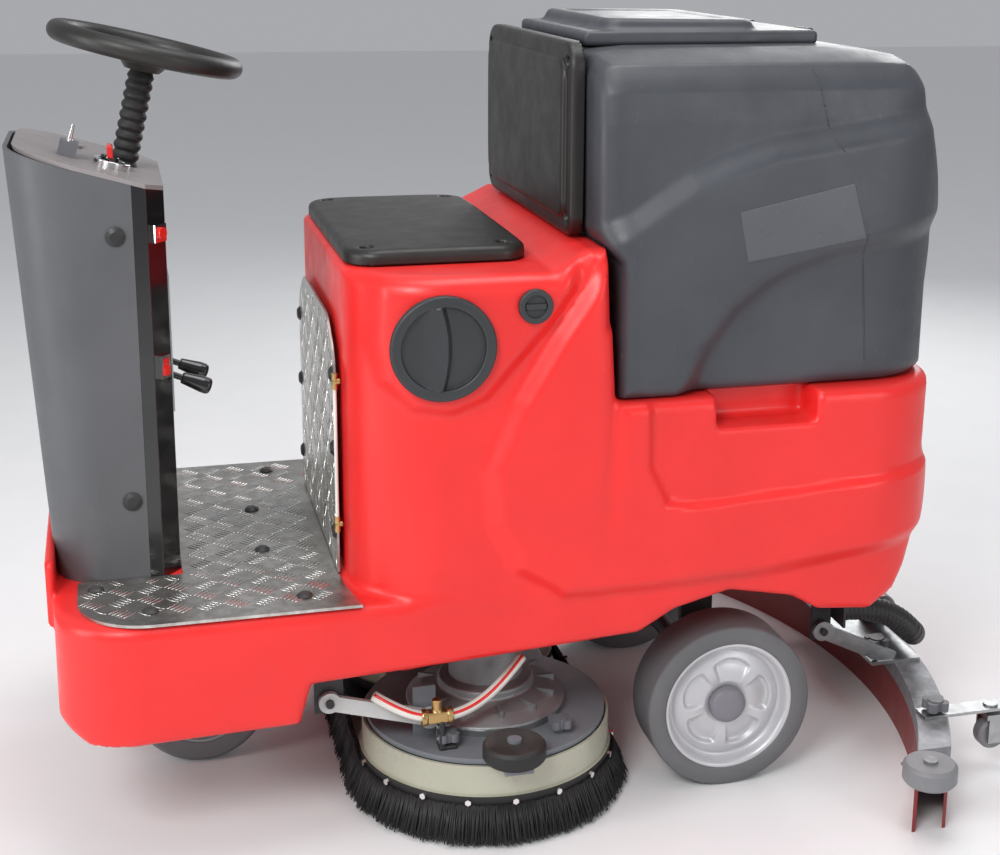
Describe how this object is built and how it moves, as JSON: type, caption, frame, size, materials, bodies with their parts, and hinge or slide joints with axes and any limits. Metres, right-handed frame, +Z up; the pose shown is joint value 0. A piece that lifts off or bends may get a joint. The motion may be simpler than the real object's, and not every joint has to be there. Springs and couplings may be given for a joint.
{
  "type": "ride-on floor scrubber",
  "caption": "Ride-on floor scrubber drier with a steering column, footwell, padded seat, tilting recovery tank, disc brush deck and curved rear squeegee on a lifting arm.",
  "frame": {"origin": "on the floor under the middle of the machine's bounding box", "axes": "+Y towards the rear squeegee, +X towards the machine's left side, +Z up"},
  "size_m": [1.016, 1.3979, 1.1153],
  "materials": {
    "body_shell": "red rotomoulded polythene, satin with light scuffs",
    "side_cap": "dark grey moulded screw cap",
    "port_plug": "dark grey moulded plug",
    "chassis_frame": "welded steel painted black",
    "battery_pack": "black battery cases",
    "vacuum_motor": "black motor housing",
    "footplate": "five-bar tread plate, worn",
    "seat_front_plate": "five-bar tread plate, worn",
    "panel_screws": "black cup washers and screws",
    "level_tube": "brass elbows with a clear sight tube",
    "seat_pad": "black self-skinned foam",
    "recovery_tank": "dark grey rotomoulded polythene",
    "tank_lid": "dark grey moulded lid",
    "drain_hose": "dark corrugated hose",
    "backrest_pad": "black self-skinned foam",
    "column_shell": "grey moulded shell",
    "column_panel": "black glossy panel",
    "dash_plate": "grey dash plate with a battery gauge",
    "steering_boot": "corrugated rubber boot",
    "steering_shaft": "turned steel",
    "lower_shaft": "turned steel with a chain sprocket",
    "steering_wheel": "black moulded wheel",
    "isolator_key": "red moulded key",
    "switch_bezels": "chromed bezels and isolator ring",
    "switch_bracket": "grey bracket",
    "toggle_lever": "chromed toggle",
    "horn_button": "red push button",
    "rocker_switch": "red rocker",
    "lever_plate": "zinc plated slot plate and pivot",
    "lever_right": "steel lever with a black grip",
    "lever_left": "steel lever with a black grip",
    "front_fork": "black steel fork with its sprocket",
    "front_tyre": "grey non-marking rubber",
    "front_hub": "cast hub motor",
    "steering_chain": "roller chain",
    "rear_tyre_right": "grey non-marking rubber",
    "rear_tyre_left": "grey non-marking rubber",
    "rear_rim_right": "silver moulded rim and hub cap",
    "rear_rim_left": "silver moulded rim and hub cap",
    "deck_plate": "steel grey painted plate",
    "deck_skirt": "cream painted steel band",
    "bristle_curtain": "black bristle curtain",
    "deck_arms": "light grey steel bars",
    "gear_motors": "cast aluminium gear motors",
    "deck_knobs": "grey star knobs",
    "deck_roller_right": "black bumper roller",
    "deck_roller_left": "black bumper roller",
    "brush_right": "disc brush",
    "brush_left": "disc brush",
    "squeegee_body": "cast squeegee body",
    "squeegee_blades": "dark red gum rubber",
    "wall_roller_right": "light grey wall roller",
    "wall_roller_left": "light grey wall roller",
    "squeegee_arm": "zinc plated steel",
    "squeegee_knobs": "grey star knobs",
    "caster_fork_right": "zinc plated fork",
    "caster_fork_left": "zinc plated fork",
    "caster_wheel_right": "grey wheel",
    "caster_wheel_left": "grey wheel",
    "suction_hose": "black corrugated hose"
  },
  "bodies": {
    "chassis": {"body_shell": "body_shell", "chassis_frame": "chassis_frame", "battery_pack": "battery_pack", "vacuum_motor": "vacuum_motor", "footplate": "footplate", "seat_front_plate": "seat_front_plate", "panel_screws": "panel_screws", "level_tube": "level_tube", "seat_pad": "seat_pad", "column_shell": "column_shell", "column_panel": "column_panel", "dash_plate": "dash_plate", "steering_boot": "steering_boot", "switch_bezels": "switch_bezels", "switch_bracket": "switch_bracket", "lever_plate": "lever_plate", "steering_chain": "steering_chain", "suction_hose": "suction_hose"},
    "filler_cap": {"side_cap": "side_cap"},
    "port_cap": {"port_plug": "port_plug"},
    "tank": {"recovery_tank": "recovery_tank", "backrest_pad": "backrest_pad", "drain_hose": "drain_hose"},
    "lid": {"tank_lid": "tank_lid"},
    "steering": {"steering_wheel": "steering_wheel", "steering_shaft": "steering_shaft"},
    "lower_steering": {"lower_shaft": "lower_shaft"},
    "fork": {"front_fork": "front_fork"},
    "front_wheel": {"front_tyre": "front_tyre", "front_hub": "front_hub"},
    "isolator": {"isolator_key": "isolator_key"},
    "toggle": {"toggle_lever": "toggle_lever"},
    "horn": {"horn_button": "horn_button"},
    "rocker": {"rocker_switch": "rocker_switch"},
    "lever_l": {"lever_left": "lever_left"},
    "lever_r": {"lever_right": "lever_right"},
    "rear_wheel_left": {"rear_tyre_left": "rear_tyre_left", "rear_rim_left": "rear_rim_left"},
    "rear_wheel_right": {"rear_tyre_right": "rear_tyre_right", "rear_rim_right": "rear_rim_right"},
    "deck_lift_arms": {"deck_arms": "deck_arms"},
    "deck": {"deck_plate": "deck_plate", "deck_skirt": "deck_skirt", "bristle_curtain": "bristle_curtain", "gear_motors": "gear_motors", "deck_knobs": "deck_knobs"},
    "brush_l": {"brush_left": "brush_left"},
    "brush_r": {"brush_right": "brush_right"},
    "deck_roll_l": {"deck_roller_left": "deck_roller_left"},
    "deck_roll_r": {"deck_roller_right": "deck_roller_right"},
    "squeegee": {"squeegee_arm": "squeegee_arm", "squeegee_body": "squeegee_body", "squeegee_blades": "squeegee_blades", "squeegee_knobs": "squeegee_knobs"},
    "wall_roll_l": {"wall_roller_left": "wall_roller_left"},
    "wall_roll_r": {"wall_roller_right": "wall_roller_right"},
    "caster_l": {"caster_fork_left": "caster_fork_left"},
    "caster_wheel_l": {"caster_wheel_left": "caster_wheel_left"},
    "caster_r": {"caster_fork_right": "caster_fork_right"},
    "caster_wheel_r": {"caster_wheel_right": "caster_wheel_right"}
  },
  "joints": [
    {"name": "fork_steer", "type": "hinge", "parent": "chassis", "child": "fork", "pos_m": [0, -0.473, 0.225], "axis": [0, 0, 1], "range_deg": [-60, 60]},
    {"name": "steering_wheel_turn", "type": "hinge", "parent": "chassis", "child": "steering", "pos_m": [0, -0.515, 1.036], "axis": [0, 0.2317, 0.9728], "range_deg": [-180, 180]},
    {"name": "lower_shaft_turn", "type": "hinge", "parent": "chassis", "child": "lower_steering", "pos_m": [0, -0.62045, 0.4], "axis": [0, 0, 1], "range_deg": [-180, 180]},
    {"name": "front_wheel_roll", "type": "hinge", "parent": "fork", "child": "front_wheel", "pos_m": [0, -0.473, 0.1], "axis": [1, 0, 0], "continuous": true},
    {"name": "rear_wheel_left_roll", "type": "hinge", "parent": "chassis", "child": "rear_wheel_left", "pos_m": [0.242, 0.272, 0.125], "axis": [1, 0, 0], "continuous": true},
    {"name": "rear_wheel_right_roll", "type": "hinge", "parent": "chassis", "child": "rear_wheel_right", "pos_m": [-0.242, 0.272, 0.125], "axis": [1, 0, 0], "continuous": true},
    {"name": "tank_tilt", "type": "hinge", "parent": "chassis", "child": "tank", "pos_m": [-0.336, 0.33, 0.612], "axis": [0, -1, 0], "range_deg": [0, 60]},
    {"name": "lid_open", "type": "hinge", "parent": "tank", "child": "lid", "pos_m": [0, 0.414, 1.0913], "axis": [-1, 0, 0], "range_deg": [0, 80]},
    {"name": "filler_cap_turn", "type": "hinge", "parent": "chassis", "child": "filler_cap", "pos_m": [0.33, -0.163, 0.705], "axis": [1, 0, 0], "range_deg": [0, 90]},
    {"name": "port_plug_turn", "type": "hinge", "parent": "chassis", "child": "port_cap", "pos_m": [0.33, -0.041, 0.755], "axis": [1, 0, 0], "range_deg": [0, 90]},
    {"name": "isolator_turn", "type": "hinge", "parent": "chassis", "child": "isolator", "pos_m": [0.06, -0.563, 0.91324], "axis": [0, 0.2812, 0.9597], "range_deg": [0, 90]},
    {"name": "toggle_flick", "type": "hinge", "parent": "chassis", "child": "toggle", "pos_m": [0.06, -0.61483, 0.9476], "axis": [1, 0, 0], "range_deg": [-15, 15]},
    {"name": "horn_push", "type": "slide", "parent": "chassis", "child": "horn", "axis": [-0.6247, -0.7809, 0], "range_m": [0, 0.003], "stiffness_N_per_m": 300},
    {"name": "rocker_tilt", "type": "hinge", "parent": "chassis", "child": "rocker", "pos_m": [0.13687, -0.50666, 0.651], "axis": [-0.7809, 0.6247, 0], "range_deg": [-8, 8]},
    {"name": "lever_left_lift", "type": "hinge", "parent": "chassis", "child": "lever_l", "pos_m": [0.04, -0.62, 0.665], "axis": [1, 0, 0], "range_deg": [0, 42]},
    {"name": "lever_right_lift", "type": "hinge", "parent": "chassis", "child": "lever_r", "pos_m": [-0.04, -0.62, 0.665], "axis": [1, 0, 0], "range_deg": [0, 42]},
    {"name": "deck_lift", "type": "hinge", "parent": "chassis", "child": "deck_lift_arms", "pos_m": [0, -0.31, 0.19], "axis": [1, 0, 0], "range_deg": [0, 16]},
    {"name": "deck_level", "type": "hinge", "parent": "deck_lift_arms", "child": "deck", "pos_m": [0, -0.17, 0.15], "axis": [1, 0, 0], "range_deg": [-16, 0]},
    {"name": "brush_left_spin", "type": "hinge", "parent": "deck", "child": "brush_l", "pos_m": [0.165, -0.069, 0.06], "axis": [0, 0, 1], "continuous": true},
    {"name": "brush_right_spin", "type": "hinge", "parent": "deck", "child": "brush_r", "pos_m": [-0.165, -0.069, 0.06], "axis": [0, 0, 1], "continuous": true},
    {"name": "deck_roller_left_spin", "type": "hinge", "parent": "deck", "child": "deck_roll_l", "pos_m": [0.345, -0.069, 0.13], "axis": [0, 0, 1], "continuous": true},
    {"name": "deck_roller_right_spin", "type": "hinge", "parent": "deck", "child": "deck_roll_r", "pos_m": [-0.345, -0.069, 0.13], "axis": [0, 0, 1], "continuous": true},
    {"name": "squeegee_lift", "type": "hinge", "parent": "chassis", "child": "squeegee", "pos_m": [0, 0.476, 0.167], "axis": [1, 0, 0], "range_deg": [0, 12], "deforming": ["suction_hose"]},
    {"name": "wall_roller_left_spin", "type": "hinge", "parent": "squeegee", "child": "wall_roll_l", "pos_m": [0.47, 0.4985, 0.09], "axis": [0, 0, 1], "continuous": true},
    {"name": "wall_roller_right_spin", "type": "hinge", "parent": "squeegee", "child": "wall_roll_r", "pos_m": [-0.47, 0.4985, 0.09], "axis": [0, 0, 1], "continuous": true},
    {"name": "caster_left_swivel", "type": "hinge", "parent": "squeegee", "child": "caster_l", "pos_m": [0.33, 0.672, 0.09], "axis": [0, 0, 1], "continuous": true},
    {"name": "caster_left_roll", "type": "hinge", "parent": "caster_l", "child": "caster_wheel_l", "pos_m": [0.33, 0.675, 0.06], "axis": [1, 0, 0], "continuous": true},
    {"name": "caster_right_swivel", "type": "hinge", "parent": "squeegee", "child": "caster_r", "pos_m": [-0.33, 0.672, 0.09], "axis": [0, 0, 1], "continuous": true},
    {"name": "caster_right_roll", "type": "hinge", "parent": "caster_r", "child": "caster_wheel_r", "pos_m": [-0.33, 0.675, 0.06], "axis": [1, 0, 0], "continuous": true}
  ],
  "couplings": [
    {"joint": "steering_wheel_turn", "follows": "fork_steer", "ratio": 3},
    {"joint": "lower_shaft_turn", "follows": "fork_steer", "ratio": 3},
    {"joint": "deck_level", "follows": "deck_lift", "ratio": -1},
    {"joint": "lever_left_lift", "follows": "deck_lift", "ratio": 2.625},
    {"joint": "lever_right_lift", "follows": "squeegee_lift", "ratio": 3.5}
  ]
}
